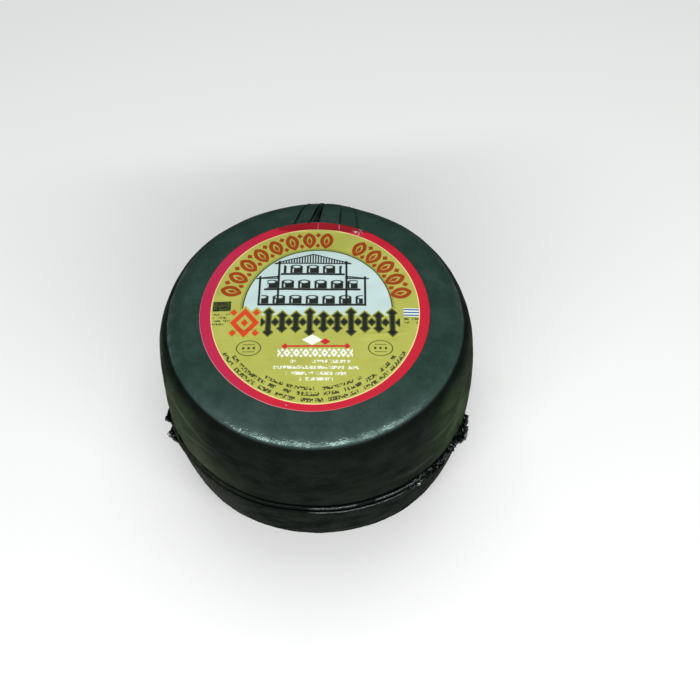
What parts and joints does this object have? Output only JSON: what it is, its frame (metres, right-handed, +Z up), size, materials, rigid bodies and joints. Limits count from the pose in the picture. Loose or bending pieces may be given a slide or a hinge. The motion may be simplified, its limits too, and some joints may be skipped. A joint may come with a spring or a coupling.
{
  "type": "wrapped wheel of hard cheese",
  "caption": "Small drum-shaped wheel of cheese shrink-wrapped in dark film, with welded seams folded against its wall and a round printed paper label on top.",
  "frame": {"origin": "centre of the flat underside, on the surface that the wheel stands on", "axes": "+Z up along the wheel's axis; -Y towards the front, where the label reads upright and the first weld runs"},
  "size_m": [0.1694, 0.1712, 0.1074],
  "materials": {
    "cheese": "dense pressed hard cheese, pale straw, slightly oily",
    "film": "very dark green-black shrink film, satin, stretched tight",
    "label_paper": "coated paper printed gold-green with a crimson rim and a white panel, satin"
  },
  "bodies": {
    "root": {"cheese_wheel": "cheese", "shrink_bag": "film", "label": "label_paper"}
  },
  "joints": []
}
